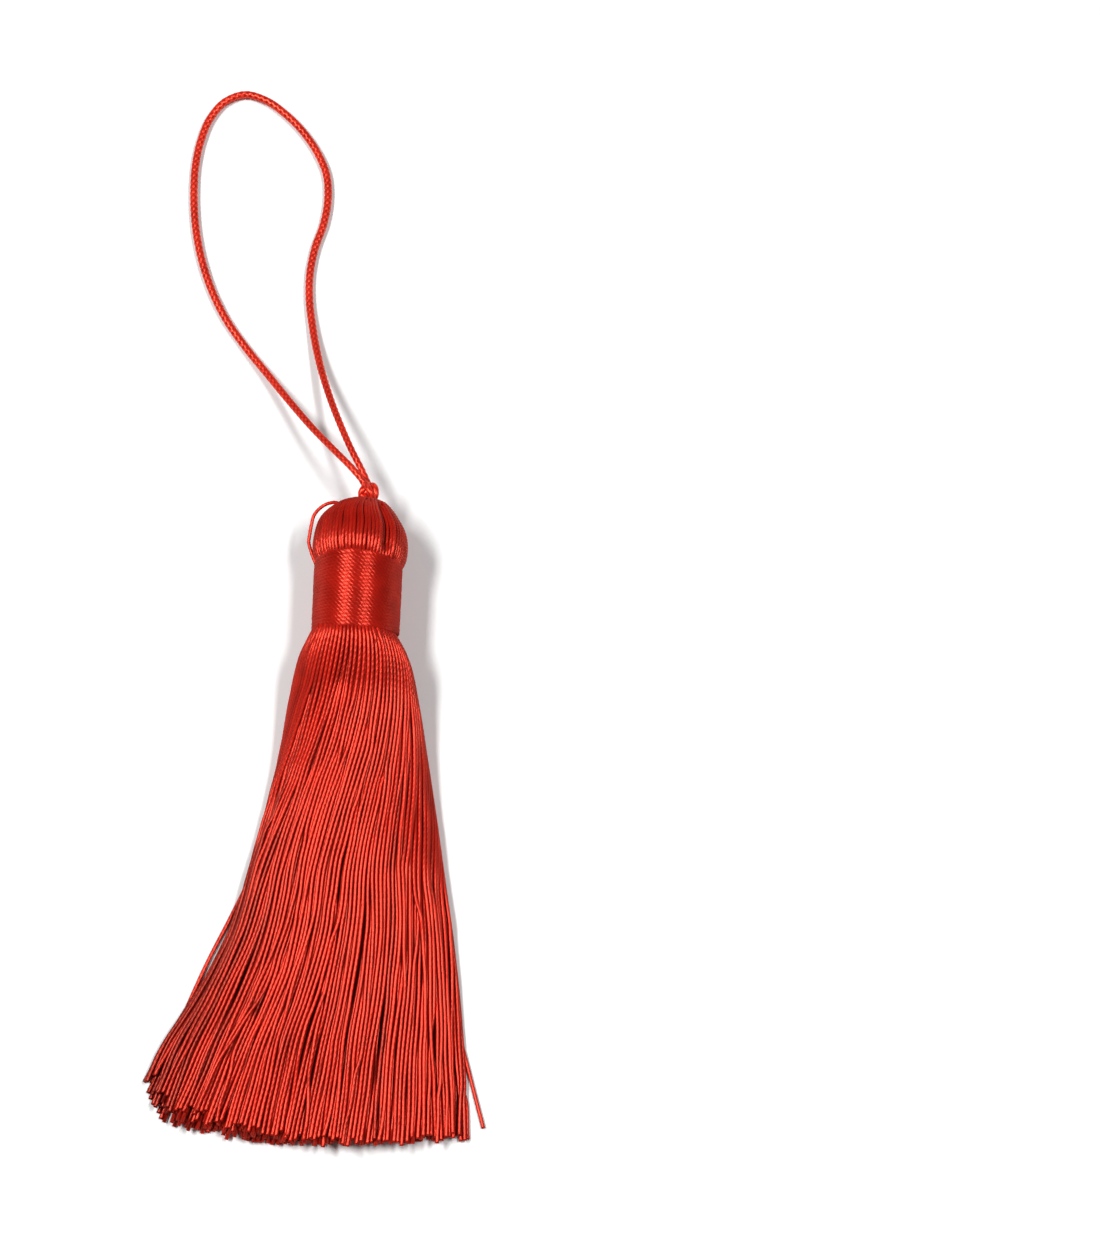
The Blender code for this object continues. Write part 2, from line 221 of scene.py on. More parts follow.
def make_threads(
    name, paths, radius, material, toward=(0, 0, 1), tone=None, plies=PLIES, phase=0.0, groove=GROOVE
):
    """Twisted threads along many paths of equally many points. With plies=0 they are plain tubes of five sides.

    Phase turns the section, for all threads, for each one or for each ring. Groove is the radius between two crests.
    """
    tubes, rings = paths.shape[:2]
    sides = PLY_CORNERS if plies else 5
    along = lengths_along(paths)
    turn = 2 * math.pi * along / TWIST_LENGTH + phase
    crests = np.where(np.arange(sides) % 2 == 0, 1.0, groove) if plies else np.ones(sides)
    width = np.broadcast_to(radius, (tubes, rings))[..., None] * crests
    points = swept_corners(paths, toward, width, sides, turn if plies else np.zeros_like(turn))
    quads, caps = tube_faces(tubes, rings, sides)
    tone = np.zeros(tubes) if tone is None else tone
    shades = np.repeat(np.broadcast_to(np.reshape(tone, (tubes, -1)), (tubes, rings)), sides, axis=1).ravel()
    thing = mesh_object(name, points.reshape(-1, 3), [quads, caps], material, tube_uv(along, sides), shades)
    print(f"{name}: {tubes} threads, {2 * len(quads) + len(caps) * (sides - 2)} triangles")
    return thing


# %% [markdown]
# ## Silky yarn
#
# Silk and viscose yarns shine because their fibres are long, smooth and parallel. The gloss is tinted,
# because most of the light that comes back has been inside a dyed fibre. A Principled shader gives that
# with a coloured specular tint. On top come a tone for each thread, a slow drift of colour along it, a
# little painted shade that darkens the plies' grooves, and a fine bump of fibres that follows the UV map.

# %% The yarn material


def math_node(tree, operation, first, second=None, third=None):
    """A Math node on these inputs, each a socket or a number, and its output."""
    node = tree.nodes.new("ShaderNodeMath")
    node.operation = operation
    for place, value in zip(node.inputs, (first, second, third)):
        if hasattr(value, "is_output"):
            tree.links.new(value, place)
        elif value is not None:
            place.default_value = value
    return node.outputs["Value"]


def bumped(tree, height, depth, normal=None):
    """A Bump node of this depth in millimetres over another normal, and its output."""
    node = tree.nodes.new("ShaderNodeBump")
    node.inputs["Strength"].default_value = 1.0
    node.inputs["Distance"].default_value = depth * MM
    tree.links.new(height, node.inputs["Height"])
    if normal:
        tree.links.new(normal, node.inputs["Normal"])
    return node.outputs["Normal"]


def silky(
    name,
    colour,
    deep,
    ply_depth=0.0,
    twist=0.0,
    roughness=0.34,
    drawn_out=0.62,
    fibre_depth=0.01,
    fibres_seen=(9.0, 4.0),
    plies=PLIES,
):
    """Dyed silky yarn, with colour on its crests and painted shade, a deeper red, in its grooves.

    The plies' relief is cos(2*pi*plies*(u - twist*v)). Twist is 0 where the mesh turns with its plies, and 1 on a
    plain tube. The gloss is drawn out across the fibres by the share drawn_out. The fibres' bump is a noise with
    fibres_seen humps round the thread and along one twist length.
    """
    material = bpy.data.materials.new(name)
    material.use_nodes = True
    tree = material.node_tree
    shader = tree.nodes["Principled BSDF"]
    shader.inputs["Roughness"].default_value = roughness
    shader.inputs["Metallic"].default_value = 0.35
    shader.inputs["IOR"].default_value = 1.55
    shader.inputs["Specular IOR Level"].default_value = 1.0
    shader.inputs["Specular Tint"].default_value = (1.0, 0.56, 0.4, 1.0)
    shader.inputs["Anisotropic"].default_value = drawn_out
    across_fibres = tree.nodes.new("ShaderNodeTangent")
    across_fibres.direction_type = "UV_MAP"
    across_fibres.uv_map = "along"
    tree.links.new(across_fibres.outputs["Tangent"], shader.inputs["Tangent"])

    along = tree.nodes.new("ShaderNodeUVMap")
    along.uv_map = "along"
    split = tree.nodes.new("ShaderNodeSeparateXYZ")
    tree.links.new(along.outputs["UV"], split.inputs["Vector"])
    round_thread = math_node(tree, "MULTIPLY_ADD", split.outputs["Y"], -twist, split.outputs["X"])
    relief = math_node(tree, "COSINE", math_node(tree, "MULTIPLY", round_thread, 2 * math.pi * plies))

    place = tree.nodes.new("ShaderNodeTexCoord")
    drift = tree.nodes.new("ShaderNodeTexNoise")
    drift.inputs["Scale"].default_value = 350.0
    drift.inputs["Detail"].default_value = 2.0
    tree.links.new(place.outputs["Object"], drift.inputs["Vector"])
    tone = tree.nodes.new("ShaderNodeAttribute")
    tone.attribute_name = "tone"
    blend = math_node(tree, "MULTIPLY_ADD", drift.outputs["Fac"], 0.5, tone.outputs["Fac"])
    # painted shade: the plies' relief also darkens the colour a little in their grooves and lightens it on their
    # crests
    blend = math_node(tree, "MULTIPLY_ADD", relief, 0.04 if ply_depth else 0.0, blend)
    ramp = tree.nodes.new("ShaderNodeValToRGB")
    ramp.color_ramp.elements[0].position = 0.1
    ramp.color_ramp.elements[0].color = (*deep, 1.0)
    ramp.color_ramp.elements[1].position = 0.65
    ramp.color_ramp.elements[1].color = (*colour, 1.0)
    tree.links.new(blend, ramp.inputs["Fac"])
    tree.links.new(ramp.outputs["Color"], shader.inputs["Base Color"])

    stretch = tree.nodes.new("ShaderNodeMapping")
    stretch.inputs["Scale"].default_value = (*fibres_seen, 1.0)
    tree.links.new(along.outputs["UV"], stretch.inputs["Vector"])
    fibres = tree.nodes.new("ShaderNodeTexNoise")
    fibres.inputs["Scale"].default_value = 1.0
    fibres.inputs["Detail"].default_value = 3.0
    tree.links.new(stretch.outputs["Vector"], fibres.inputs["Vector"])
    normal = bumped(tree, fibres.outputs["Fac"], fibre_depth)
    if ply_depth:
        normal = bumped(tree, relief, ply_depth, normal)
    tree.links.new(normal, shader.inputs["Normal"])
    return material


WINDING_PLIES = 6
PLY_DEPTH = 0.005
VERMILION = (0.66, 0.026, 0.012)
DEEP_RED = (0.26, 0.003, 0.001)
yarn = silky("silk_yarn", VERMILION, DEEP_RED, PLY_DEPTH)
plain_yarn = silky("silk_yarn_plain", VERMILION, DEEP_RED, PLY_DEPTH, twist=1.0)
winding_yarn = silky(
    "winding_yarn",
    VERMILION,
    DEEP_RED,
    1.6 * PLY_DEPTH,
    roughness=0.38,
    drawn_out=0.93,
    fibre_depth=0.024,
    fibres_seen=(14.0, 2.2),
    plies=WINDING_PLIES,
)
cord_yarn = silky("cord_yarn", (0.9, 0.06, 0.03), (0.3, 0.004, 0.002), drawn_out=0.0)
# painted shade: the core's dark red stands for the shade that lies between the head's threads
core_painted_shade = silky("inner_yarn", (0.2, 0.002, 0.001), (0.12, 0.001, 0.001), roughness=0.6)
print("materials:", ", ".join(material.name for material in bpy.data.materials))

# %% [markdown]
# ## The hanging loop
#
# The loop is one thin braided cord, about a millimetre thick and made of tiny lozenges. It leaves the knot,
# comes down onto the table, goes round and returns to the knot. It is made first. A round tube with two
# families of crossing helices in its radius gives the braid.

# %% The cord's route and its braid
CORD_RADIUS = 0.5
LOOP_ROUTE = (
    (-0.05, 7.84, 6.9),
    (-1.2, 9.2, 6.8),
    (-3.8, 12.0, 6.0),
    (-7.0, 15.6, 4.5),
    (-10.5, 20.0, 2.7),
    (-14.0, 24.5, 1.3),
    (-17.4, 28.7, 0.65),
    (-20.2, 32.5, 0.6),
    (-22.3, 36.3, 0.6),
    (-24.0, 40.5, 0.6),
    (-25.1, 44.3, 0.6),
    (-25.8, 48.0, 0.6),
    (-26.2, 51.7, 0.6),
    (-26.3, 55.4, 0.6),
    (-25.9, 59.2, 0.6),
    (-24.9, 62.7, 0.6),
    (-23.1, 65.3, 0.6),
    (-20.5, 66.5, 0.6),
    (-17.5, 65.7, 0.6),
    (-14.8, 63.8, 0.6),
    (-12.2, 61.2, 0.6),
    (-10.0, 58.1, 0.6),
    (-8.5, 54.8, 0.6),
    (-8.0, 51.1, 0.6),
    (-8.3, 47.3, 0.6),
    (-9.2, 43.6, 0.6),
    (-9.6, 40.0, 0.6),
    (-9.4, 36.0, 0.65),
    (-8.6, 31.6, 0.9),
    (-7.35, 26.6, 1.8),
    (-5.6, 21.3, 3.4),
    (-3.6, 16.3, 5.0),
    (-1.5, 11.8, 6.0),
    (-0.2, 9.4, 6.15),
    (0.55, 7.88, 6.1),
)
BRAID_SIDES = 24
BRAID_RING = 0.11
BRAID_ROUND = 4
BRAID_LENGTH = 0.85
BRAID_DEPTH = 0.08
THIN_AT_KNOT = 0.16
THIN_LENGTH = 32


def braid_height(along, angle):
    """The braid's lozenges, 0 in the grooves and 1 on the crests: |cos(2a + w) * cos(2a - w)|^0.6."""
    w = math.pi * along / BRAID_LENGTH
    a = BRAID_ROUND / 2 * angle
    return np.abs(np.cos(a + w) * np.cos(a - w)) ** 0.6


def make_cord(name, path, toward, material):
    """A braided tube along one path, with painted shade: its tone goes deep red in the braid's grooves."""
    along = lengths_along(path)
    angle = 2 * math.pi * np.arange(BRAID_SIDES) / BRAID_SIDES
    height = braid_height(along[:, None], angle)
    pulled_thin = 1 - THIN_AT_KNOT * (1 - ease(np.minimum(along, along[-1] - along), 2, THIN_LENGTH))
    radius = (CORD_RADIUS + BRAID_DEPTH * (height - 0.65)) * pulled_thin[:, None]
    points = swept_corners(path[None], toward, radius[None], BRAID_SIDES, np.zeros((1, len(path))))
    quads, caps = tube_faces(1, len(path), BRAID_SIDES)
    # painted shade: the tone follows the braid's height, so the grooves are coloured deep red and the crests keep the
    # cord's colour
    tone = (0.55 * height - 0.08).ravel()
    thing = mesh_object(
        name, points.reshape(-1, 3), [quads, caps], material, tube_uv(along[None], BRAID_SIDES), tone
    )
    print(f"{name}: {along[-1]:.0f} mm of cord, {2 * len(quads)} triangles")
    return thing


KNOT_ENTRIES = ((0.5, 6.9, 6.75), (0.95, 6.9, 6.2))
loop_path = evenly_along((KNOT_ENTRIES[0], *LOOP_ROUTE, KNOT_ENTRIES[1]), BRAID_RING)
hanging_loop = make_cord("hanging_loop_cord", loop_path, (0, 0, 1), cord_yarn)

# %% [markdown]
# ## The knot
#
# The two legs of the loop are tied together on top of the head, in a knot no larger than a peppercorn. One
# wrap slants down across its front, goes round behind, comes up in the left lobe, passes under itself and
# goes down again in the right lobe. The route is a short list of points round the knot's middle, closed on
# itself.

# %% The knot
KNOT_MIDDLE = (0.87, 6.3, 6.75)
#   to the right, towards the loop, up
KNOT_ROUTE = (
    (-0.35, 0.95, 0.35),
    (-0.05, 0.35, 0.8),
    (0.3, -0.35, 0.85),
    (0.6, -0.95, 0.35),
    (0.25, -1.05, -0.1),
    (-0.4, -0.9, 0.0),
    (-0.9, -0.45, 0.1),
    (-0.75, 0.1, 0.4),
    (-0.35, 0.55, 0.15),
    (0.15, 0.9, 0.0),
    (0.65, 0.7, 0.25),
    (0.9, 0.05, 0.35),
    (0.85, -0.65, 0.15),
    (0.3, -0.6, -0.35),
    (-0.3, -0.1, 0.15),
    (-0.6, 0.75, -0.3),
    (-0.35, 0.95, 0.35),
)

knot_path = evenly_along(np.array(KNOT_ROUTE) + KNOT_MIDDLE, BRAID_RING)
knot = make_cord("tied_knot", knot_path, knot_path - np.array(KNOT_MIDDLE), cord_yarn)

# %% [markdown]
# ## The head
#
# The head is the fold of the hank. About 77 threads show at its widest ring. They run like meridians from
# the binding over the round head to the knot, which stands a little right of the middle. There is no room
# for all of them there, so every second thread dives under its neighbours on the way, then every second of
# those left, and so on.

# %% The head's threads
HEAD_THREADS = 77
THREAD_RADIUS = 0.268
HEAD_RING = 0.18
#   down, radius of the threads' middle line
HEAD_PROFILE = (
    (-4.3, 0.7),
    (-4.66, 1.2),
    (-4.74, 2.0),
    (-4.45, 2.9),
    (-3.75, 3.8),
    (-2.7, 4.7),
    (-1.35, 5.42),
    (0.3, 5.76),
    (1.7, 5.78),
    (2.7, 5.58),
    (3.4, 5.25),
    (4.1, 4.85),
    (5.6, 4.62),
)
DIVE_DEPTH = 0.55
KNOT_SIDE = (0.75, 0.35)
HEAD_SIDE = 0.25
FURROW_ANGLE = math.radians(50)
FURROW_WIDTH = math.radians(7)
FURROW_DEPTH = 0.75
FURROW_DOWN = (-3.6, 1.6)


def head_point(profile, normal, angle, depth):
    """Places on the head: the profile moved in by depth along its normal and turned to the angle round the axis."""
    down = profile[..., 0] - depth * normal[..., 0]
    radius = profile[..., 1] - depth * normal[..., 1]
    near_top = 1 - ease(radius, 0.8, 5.5)
    x = radius * np.cos(angle) + KNOT_SIDE[0] * near_top + HEAD_SIDE * ease(down, -3, 0)
    z = AXIS_HEIGHT + radius * np.sin(angle) + KNOT_SIDE[1] * near_top
    return np.stack([x, -down, z], axis=-1)


def head_profile():
    """The head's profile at even steps, and its outward normal, both as (down, radius) pairs."""
    profile = evenly_along(HEAD_PROFILE, HEAD_RING)
    slope = np.gradient(profile, axis=0)
    slope /= np.linalg.norm(slope, axis=1, keepdims=True)
    return profile, np.stack([-slope[:, 1], slope[:, 0]], axis=1)


def dive_radii(count, rng):
    """The radius at which each thread dives: none for the first of eight, and half as far in for each halving."""
    number = np.arange(count)
    widest = HEAD_PROFILE[7][1]
    radius = np.zeros(count)
    for level, share in enumerate((0.56, 0.31, 0.17)):
        radius[number % 2 ** (level + 1) == 2**level] = share * widest
    return radius * rng.uniform(0.8, 1.25, count)


def make_head():
    """The head's threads: meridians with a little wander, drawn into the furrow, every second one diving early."""
    rng = np.random.default_rng(21)
    profile, normal = head_profile()
    down, radius = profile.T
    number = np.arange(HEAD_THREADS)
    angle = 2 * math.pi * (number + rng.uniform(-0.12, 0.12, HEAD_THREADS)) / HEAD_THREADS
    swing = rng.uniform(-1, 1, (3, HEAD_THREADS))
    wave = sum(swing[i][:, None] * np.sin((0.35 + 0.3 * i) * down + 2.4 * i + swing[i][:, None]) for i in range(3))
    angle = angle[:, None] + wave * 0.13 * 2 * math.pi / HEAD_THREADS
    off_furrow = (angle - FURROW_ANGLE) / FURROW_WIDTH
    along = ease(down, FURROW_DOWN[0] - 1, FURROW_DOWN[0]) * (1 - ease(down, FURROW_DOWN[1], FURROW_DOWN[1] + 2))
    pull = np.exp(-(off_furrow**2)) * along
    angle = angle + 0.35 * FURROW_WIDTH * off_furrow * pull
    dives = dive_radii(HEAD_THREADS, rng)[:, None]
    depth = DIVE_DEPTH * (1 - ease(radius, 0.75 * dives, 1.05 * dives + 1e-6)) * (dives > 0)
    depth = depth + FURROW_DEPTH * pull + rng.uniform(0, 0.07, HEAD_THREADS)[:, None]
    paths = head_point(profile[None], normal[None], angle, depth)
    paths[..., 2] = np.maximum(paths[..., 2], THREAD_RADIUS)
    outward = paths - np.array((0, 1.0, AXIS_HEIGHT))
    outward[..., 1] *= 0.8
    tone = rng.normal(0.22, 0.06, HEAD_THREADS)
    phase = rng.uniform(0, 2 * math.pi, HEAD_THREADS)
    return make_threads("head_threads", paths, THREAD_RADIUS, yarn, outward, tone, phase=phase[:, None])


head = make_head()

# %% [markdown]
# ## Under the threads
#
# Between the threads of the head one sees more yarn, and never daylight. A closed core just under them
# stands for it, down through the neck to where the skirt starts. It is turned about the axis like the head.
# Its colour is painted shade, a dark red for the shade that lies between the threads.

# %% The core of the head and neck
CORE_COLUMNS = 96
#   down, radius
CORE_PROFILE = (
    (-3.95, 0.3),
    (-4.15, 1.2),
    (-4.2, 2.0),
    (-3.95, 2.75),
    (-3.3, 3.5),
    (-2.35, 4.3),
    (-1.15, 4.95),
    (0.3, 5.25),
    (1.7, 5.28),
    (2.7, 5.1),
    (3.7, 4.85),
    (5.0, 4.8),
    (10.6, 4.75),
    (11.2, 4.4),
    (11.5, 2.5),
    (11.55, 0.3),
)


def make_core():
    """A closed form of revolution under the threads, with the same furrow and fine ribs, coloured as painted shade.
    """
    profile = evenly_along(CORE_PROFILE, 0.35)
    down, radius = profile.T
    angle = 2 * math.pi * np.arange(CORE_COLUMNS) / CORE_COLUMNS
    off_furrow = (angle - FURROW_ANGLE) / FURROW_WIDTH
    along = ease(down, FURROW_DOWN[0] - 1, FURROW_DOWN[0]) * (1 - ease(down, FURROW_DOWN[1], FURROW_DOWN[1] + 2))
    ribs = 0.06 * np.cos(48 * angle)
    out = radius[:, None] * (1 + 0 * angle) + (ribs - FURROW_DEPTH * np.exp(-(off_furrow**2)) * along[:, None])
    out = np.maximum(out, 0.3)
    near_top = 1 - ease(radius, 0.8, 5.5)
    near_top = near_top * (down < 0)
    x = out * np.cos(angle) + (KNOT_SIDE[0] * near_top + HEAD_SIDE * ease(down, -3, 0))[:, None]
    z = np.maximum(AXIS_HEIGHT + out * np.sin(angle) + (KNOT_SIDE[1] * near_top)[:, None], 0.12)
    y = np.broadcast_to(-down[:, None], x.shape)
    points = np.stack([x, y, z], axis=-1).reshape(-1, 3)
    quads, caps = tube_faces(1, len(profile), CORE_COLUMNS)
    quads, caps = quads[:, ::-1], caps[:, ::-1]
    along = lengths_along(profile)[None]
    uv = tube_uv(along, CORE_COLUMNS)
    return mesh_object("head_core", points, [quads, caps], core_painted_shade, uv, np.full(len(points), 0.1))


core = make_core()

# %% [markdown]
# ## The thread that stands out
#
# One thread of the head has come loose on the left and stands out in a small loop. Its route is a short
# list of points, from under the head's threads to under the binding.

# %% The standing thread
STANDING_THREAD = (
    (-2.4, 4.1, 7.0),
    (-3.0, 4.5, 7.2),
    (-3.9, 4.42, 7.2),
    (-5.0, 3.85, 7.0),
    (-5.8, 2.85, 6.8),
    (-6.08, 1.55, 6.6),
    (-6.22, 0.25, 6.45),
    (-6.28, -0.6, 6.35),
    (-6.05, -1.45, 6.3),
    (-5.65, -2.5, 6.25),
    (-5.0, -3.9, 6.2),
)
stand_path = evenly_along(STANDING_THREAD, 0.15)[None]
standing_thread = make_threads("standing_thread", stand_path, 0.23, yarn, tone=np.array([0.3]))

# %% [markdown]
# ## The binding
#
# The binding is one thread, wound side by side some twenty times round the neck. It is a helix, and nothing
# else gives the look: the glints of its plies line up in slanting rows where the turns face the light. The
# winding leans a little. Its turns fan out on the upper side, where the first have climbed on the head and
# the last sit on the skirt.
#
# A tightly wound thread is pressed flat against its neighbours. So the mesh has a thicker thread whose
# middle lies deeper, which shows a flatter back, and its plies are turned so that they carry on from one
# turn to the next.

# %% The winding
WINDING_TOP = 3.63
WINDING_LENGTH = 8.72
WINDING_TURNS = 21.3
WINDING_RADII = (5.1, 5.02)
WINDING_SIDE = (0.2, 0.4)
WINDING_THREAD = 0.5
CRESTS_PER_TURN = 62.78
WINDING_RING = 0.17
WINDING_LEAN = (math.tan(math.radians(1.2)), math.tan(math.radians(1.9)))
CLIMB = (0.38, -0.8)
SLIP = 0.15


def winding_path():
    """The helix: down = top + length * t + lean * x - climb * sin(a) at the share t of all turns and the angle a."""
    count = round(2 * math.pi * WINDING_RADII[0] * WINDING_TURNS / WINDING_RING)
    turns = np.linspace(0, WINDING_TURNS, count)
    t = turns / WINDING_TURNS
    angle = 2 * math.pi * turns + math.radians(200)
    rng = np.random.default_rng(3)
    knots = np.arange(0, WINDING_TURNS + 1, 0.25)
    uneven = np.column_stack([knots, rng.uniform(-1, 1, (len(knots), 2))])
    out_wobble, down_wobble = smooth_rows(uneven, turns)
    tucked = (1 - ease(turns, 0, 0.12)) + ease(turns, WINDING_TURNS - 0.12, WINDING_TURNS)
    radius = np.interp(t, (0, 1), WINDING_RADII) + 0.02 * out_wobble - 0.55 * tucked
    slipped = SLIP * (1 - ease(turns, 0.7, 1.1)) * (0.5 - 0.5 * np.cos(angle))
    around = radius * np.cos(angle)
    down = WINDING_TOP + WINDING_LENGTH * t + np.interp(t, (0, 1), WINDING_LEAN) * around
    down += 0.022 * down_wobble - slipped - np.interp(t, (0, 1), CLIMB) * np.sin(angle)
    x = around + np.interp(t, (0, 1), WINDING_SIDE)
    return np.stack([x, -down, AXIS_HEIGHT + radius * np.sin(angle)], axis=1)[None], turns[None]


winding, turns = winding_path()
lined_up = 2 * math.pi * (CRESTS_PER_TURN / WINDING_PLIES * turns - lengths_along(winding) / TWIST_LENGTH)
outward = winding * np.array((1, 0, 1)) - np.array((np.mean(WINDING_SIDE), 0, AXIS_HEIGHT))
binding = make_threads(
    "wound_binding", winding, WINDING_THREAD, winding_yarn, outward, np.array([0.2]), phase=lined_up, groove=1.0
)

# %% [markdown]
# ## Where the skirt's yarns go
#
# The skirt holds nearly four hundred yarns. Under the binding they fill a disc. Further down they have
# spread into a low mound that lies on the table, and on the way the whole bundle has rolled over to the
# left, so the yarns on top sweep across it.
#
# Each yarn keeps one place in a unit disc, taken from the golden-ratio lattice, whose points stay well
# apart however the disc is stretched. At any distance down the disc is rolled, stretched to the skirt's
# width there and pressed into the mound.

# %% Places in the bundle
YARNS = 384
YARN_RADIUS = 0.25
DISC_EDGE = 0.985
#   down, left, right, base, height, laid (0 a round bundle, 1 flat underneath)
SKIRT_SECTIONS = (
    (10.6, -4.4, 4.9, 1.55, 9.1, 0.0),
    (12.4, -4.55, 5.0, 1.4, 9.4, 0.0),
    (13.4, -4.95, 5.7, 1.15, 9.85, 0.0),
    (16.0, -6.15, 7.2, 0.8, 9.75, 0.12),
    (20.0, -7.1, 8.35, 0.4, 8.9, 0.4),
    (26.5, -8.05, 9.75, 0.12, 7.8, 0.8),
    (33.0, -9.1, 11.1, 0.0, 6.9, 1.0),
    (42.0, -11.05, 12.85, 0.0, 6.1, 1.0),
    (50.0, -13.0, 14.4, 0.0, 5.4, 1.0),
    (59.0, -17.1, 15.85, 0.0, 4.6, 1.0),
    (64.0, -19.8, 16.5, 0.0, 4.1, 1.0),
    (68.0, -21.5, 17.15, 0.0, 3.6, 1.0),
    (77.0, -24.9, 18.2, 0.0, 2.6, 1.0),
)
ROLL = math.radians(36)
ROLL_DOWN = (12.5, 44.0)


def yarn_places():
    """(across, up) in a unit disc: (a + b*phi, a - b/phi) * pitch for whole a and b, kept where it is inside."""
    golden = (1 + math.sqrt(5)) / 2
    pitch = math.sqrt(math.pi / (YARNS * math.sqrt(5)))
    whole = np.arange(-YARNS // 4, YARNS // 4)
    a, b = np.meshgrid(whole, whole)
    across = (a + b * golden).ravel() * pitch
    up = (a - b / golden).ravel() * pitch
    inside = np.hypot(across, up) < DISC_EDGE
    return across[inside], up[inside]


def section(across, up, down):
    """x and z of the places at a distance down.

    The disc is turned by the roll that is still to come. Then x runs from left to right with `across`, and the chord
    sqrt(1 - across^2) becomes the mound's height there as `laid` goes from 0 to 1.
    """
    roll = ROLL * (1 - ease(down, *ROLL_DOWN))
    across, up = across * np.cos(roll) + up * np.sin(roll), up * np.cos(roll) - across * np.sin(roll)
    left, right, base, height, laid = smooth_rows(SKIRT_SECTIONS, down)
    chord = np.sqrt(1 - across**2)
    z = base + height / 2 * (1 + laid * (chord - 1) + up)
    return left + (right - left) * (across + 1) / 2, z


across, up = yarn_places()
print(f"{len(across)} yarns")

# %% [markdown]
# ## Locks, gaps and crossings
#
# Laid out by that rule alone the yarns would look combed by a machine. Real ones gather in locks, part, and
# cross. So the skirt is laid down station by station, from the binding to the ends. At each station every
# lock pulls its yarns a little together and drifts to a side, every yarn wanders by itself, and then yarns
# that are closer than their thickness push each other apart, as real ones do. What a yarn has moved, it
# keeps at the next station, so its path stays smooth.

# %% Lay the skirt down
STATIONS = np.concatenate([np.linspace(10.6, 16, 7), np.linspace(18, 77, 31)])
LOCKS = 56
PUSH_ROUNDS = 24
CLOSENESS = 0.94
YARN_GAP = 0.02
LOCK_PULL = 0.07
SKIN_PULL = 0.16
SKIN_LOOSENS = (18, 45)
SKIN_DEPTH = 1.0
LOCK_SWAY = 0.35
YARN_WANDER = 0.1
RESTLESS_SHARE = 0.07
EDGE_SLACK = 0.05


def drawn_to_skin(x, z, down):
    """Yarns just inside the section's edge are drawn out to it, since a taut bundle has a close skin.

    With a and b the place in the unit disc and r its distance from the middle, the edge is (1 - r) / |grad r| away.
    """
    left, right, base, height, laid = smooth_rows(SKIRT_SECTIONS, np.array([down]))[:, 0]
    a = (2 * x - left - right) / (right - left)
    b = 2 * (z - base) / height - 1 - laid * (np.sqrt(np.clip(1 - a**2, 0, 1)) - 1)
    r = np.maximum(np.hypot(a, b), 0.05)
    slope = 2 * np.stack([a / (right - left), b / height]) / r
    steep = np.maximum(np.hypot(*slope), 1e-6)
    depth = (1 - r) / steep
    pull = SKIN_PULL * (1 - 0.9 * ease(down, *SKIN_LOOSENS)) * (1 - ease(np.abs(depth), 0.5 * SKIN_DEPTH, SKIN_DEPTH))
    out = pull * depth * slope / steep
    return x + out[0], z + out[1]


def push_apart(x, z, apart, floor, down):
    """Every two yarns closer than `apart` each move away by half of what is missing, several times over."""
    for _ in range(PUSH_ROUNDS):
        x, z = drawn_to_skin(x, z, down)
        dx = x[:, None] - x
        dz = z[:, None] - z
        distance = np.hypot(dx, dz)
        np.fill_diagonal(distance, np.inf)
        share = np.clip(apart - distance, 0, None) / (2 * np.maximum(distance, 0.05))
        x = x + 0.7 * (dx * share).sum(axis=1)
        z = np.maximum(z + 0.7 * (dz * share).sum(axis=1), floor)
    return x, z


def lay_skirt():
    """The yarns' places at every station, as (yarn, station, xyz)."""
    rng = np.random.default_rng(8)
    turn = 2.4 * np.arange(LOCKS)
    reach = np.sqrt((np.arange(LOCKS) + 0.5) / LOCKS)
    lock_across, lock_up = reach * np.cos(turn), reach * np.sin(turn)
    lock = np.argmin(np.hypot(across[:, None] - lock_across, up[:, None] - lock_up), axis=1)
    sway_phase = rng.uniform(0, 2 * math.pi, (2, LOCKS))
    moved_x, moved_z = np.zeros(len(across)), np.zeros(len(across))
    own = rng.normal(0, 1, (2, len(across)))
    wander = YARN_WANDER * np.where(rng.random(len(across)) < RESTLESS_SHARE, 2.2, 1.0)
    rows = []
    for down in STATIONS:
        base_x, base_z = section(across, up, np.full(len(across), down))
        loose = ease(down, 14, 40)
        own = 0.75 * own + 0.66 * rng.normal(0, 1, own.shape)
        x = base_x + moved_x + wander * loose * own[0]
        z = base_z + moved_z + 0.6 * wander * loose * own[1]
        count = np.bincount(lock, minlength=LOCKS)
        middle_x = np.bincount(lock, x, LOCKS) / np.maximum(count, 1)
        middle_z = np.bincount(lock, z, LOCKS) / np.maximum(count, 1)
        sway = LOCK_SWAY * loose * np.sin(0.09 * down + sway_phase[0])
        gather = LOCK_PULL * loose
        x = x + gather * (middle_x[lock] - x)
        z = z + gather * (middle_z[lock] - z)
        crowd = min(2 * YARN_RADIUS + YARN_GAP, CLOSENESS * math.sqrt(1.1547 * mound_area(down) / len(across)))
        target_x = x + sway[lock]
        x, z = push_apart(target_x, z, crowd, YARN_RADIUS, down)
        left, right = smooth_rows(SKIRT_SECTIONS, np.array([down]))[:2, 0]
        x = np.clip(x, left - EDGE_SLACK, right + EDGE_SLACK)
        moved_x = 0.9 * (x - sway[lock] - base_x)
        moved_z = 0.9 * (z - base_z)
        rows.append(np.stack([x, np.full(len(x), -down), z], axis=1))
    return np.stack(rows, axis=1)


def mound_area(down):
    """The area that a section leaves for the yarns: an ellipse as wide and high as the table says."""
    left, right, _, height, _ = smooth_rows(SKIRT_SECTIONS, np.array([down]))[:, 0]
    return math.pi / 4 * (right - left + 2 * YARN_RADIUS) * (height + 2 * YARN_RADIUS)


laid = lay_skirt()
print("skirt laid:", laid.shape)

# %% [markdown]
# ## Cutting the skirt
#
# The skirt was cut along one line, but the yarns lie differently, so the end is ragged: the yarns on top
# end a little sooner, most of all on the left. Each yarn gets its own length, and its path is read off at
# even steps up to there.

